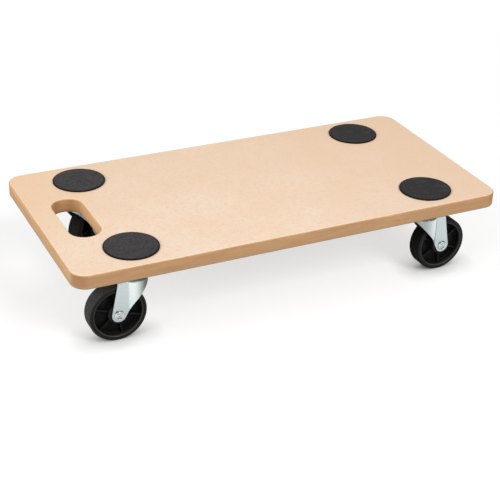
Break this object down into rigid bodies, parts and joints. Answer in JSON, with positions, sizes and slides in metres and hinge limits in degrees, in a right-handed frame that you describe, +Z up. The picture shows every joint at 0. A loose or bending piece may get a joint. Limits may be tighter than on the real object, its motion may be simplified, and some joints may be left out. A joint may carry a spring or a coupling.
{
  "type": "roller dolly",
  "caption": "Low fibreboard dolly with a hand slot at one end, round rubber pads on top and pressed-steel swivel casters below, for rolling heavy goods.",
  "frame": {"origin": "on the floor, under the middle of the deck", "axes": "+X along the deck's length, away from the hand slot; +Y across the deck; +Z up"},
  "size_m": [0.59, 0.29, 0.12],
  "materials": {
    "fibreboard": "smooth sanded board",
    "rubber_pad": "matt, fine grained",
    "zinc_plated_steel": "bright zinc plate",
    "bearing_steel": "polished, greased",
    "wheel_plastic": "moulded, slightly glossy"
  },
  "bodies": {
    "deck": {"deck_board": "fibreboard", "front_left_pad": "rubber_pad", "front_left_top_plate": "zinc_plated_steel", "front_left_plate_screws": "zinc_plated_steel", "front_left_kingpin": "zinc_plated_steel", "front_left_upper_balls": "bearing_steel", "front_left_lower_balls": "bearing_steel", "front_left_lower_race": "zinc_plated_steel", "front_right_pad": "rubber_pad", "front_right_top_plate": "zinc_plated_steel", "front_right_plate_screws": "zinc_plated_steel", "front_right_kingpin": "zinc_plated_steel", "front_right_upper_balls": "bearing_steel", "front_right_lower_balls": "bearing_steel", "front_right_lower_race": "zinc_plated_steel", "rear_left_pad": "rubber_pad", "rear_left_top_plate": "zinc_plated_steel", "rear_left_plate_screws": "zinc_plated_steel", "rear_left_kingpin": "zinc_plated_steel", "rear_left_upper_balls": "bearing_steel", "rear_left_lower_balls": "bearing_steel", "rear_left_lower_race": "zinc_plated_steel", "rear_right_pad": "rubber_pad", "rear_right_top_plate": "zinc_plated_steel", "rear_right_plate_screws": "zinc_plated_steel", "rear_right_kingpin": "zinc_plated_steel", "rear_right_upper_balls": "bearing_steel", "rear_right_lower_balls": "bearing_steel", "rear_right_lower_race": "zinc_plated_steel"},
    "front_left_caster_fork": {"front_left_fork": "zinc_plated_steel", "front_left_axle": "zinc_plated_steel", "front_left_axle_sleeve": "zinc_plated_steel"},
    "front_left_caster_wheel": {"front_left_wheel": "wheel_plastic"},
    "front_right_caster_fork": {"front_right_fork": "zinc_plated_steel", "front_right_axle": "zinc_plated_steel", "front_right_axle_sleeve": "zinc_plated_steel"},
    "front_right_caster_wheel": {"front_right_wheel": "wheel_plastic"},
    "rear_left_caster_fork": {"rear_left_fork": "zinc_plated_steel", "rear_left_axle": "zinc_plated_steel", "rear_left_axle_sleeve": "zinc_plated_steel"},
    "rear_left_caster_wheel": {"rear_left_wheel": "wheel_plastic"},
    "rear_right_caster_fork": {"rear_right_fork": "zinc_plated_steel", "rear_right_axle": "zinc_plated_steel", "rear_right_axle_sleeve": "zinc_plated_steel"},
    "rear_right_caster_wheel": {"rear_right_wheel": "wheel_plastic"}
  },
  "joints": [
    {"name": "front_left_swivel", "type": "hinge", "parent": "deck", "child": "front_left_caster_fork", "pos_m": [-0.208, -0.1035, 0.08235], "axis": [0, 0, 1], "continuous": true},
    {"name": "front_left_roll", "type": "hinge", "parent": "front_left_caster_fork", "child": "front_left_caster_wheel", "pos_m": [-0.232, -0.1035, 0.0375], "axis": [0, -1, 0], "continuous": true},
    {"name": "front_right_swivel", "type": "hinge", "parent": "deck", "child": "front_right_caster_fork", "pos_m": [-0.208, 0.1035, 0.08235], "axis": [0, 0, 1], "continuous": true},
    {"name": "front_right_roll", "type": "hinge", "parent": "front_right_caster_fork", "child": "front_right_caster_wheel", "pos_m": [-0.18681, 0.11477, 0.0375], "axis": [-0.4695, 0.8829, 0], "continuous": true},
    {"name": "rear_left_swivel", "type": "hinge", "parent": "deck", "child": "rear_left_caster_fork", "pos_m": [0.208, -0.1035, 0.08235], "axis": [0, 0, 1], "continuous": true},
    {"name": "rear_left_roll", "type": "hinge", "parent": "rear_left_caster_fork", "child": "rear_left_caster_wheel", "pos_m": [0.23199, -0.10287, 0.0375], "axis": [-0.0262, 0.9997, 0], "continuous": true},
    {"name": "rear_right_swivel", "type": "hinge", "parent": "deck", "child": "rear_right_caster_fork", "pos_m": [0.208, 0.1035, 0.08235], "axis": [0, 0, 1], "continuous": true},
    {"name": "rear_right_roll", "type": "hinge", "parent": "rear_right_caster_fork", "child": "rear_right_caster_wheel", "pos_m": [0.23129, 0.10931, 0.0375], "axis": [-0.2419, 0.9703, 0], "continuous": true}
  ]
}
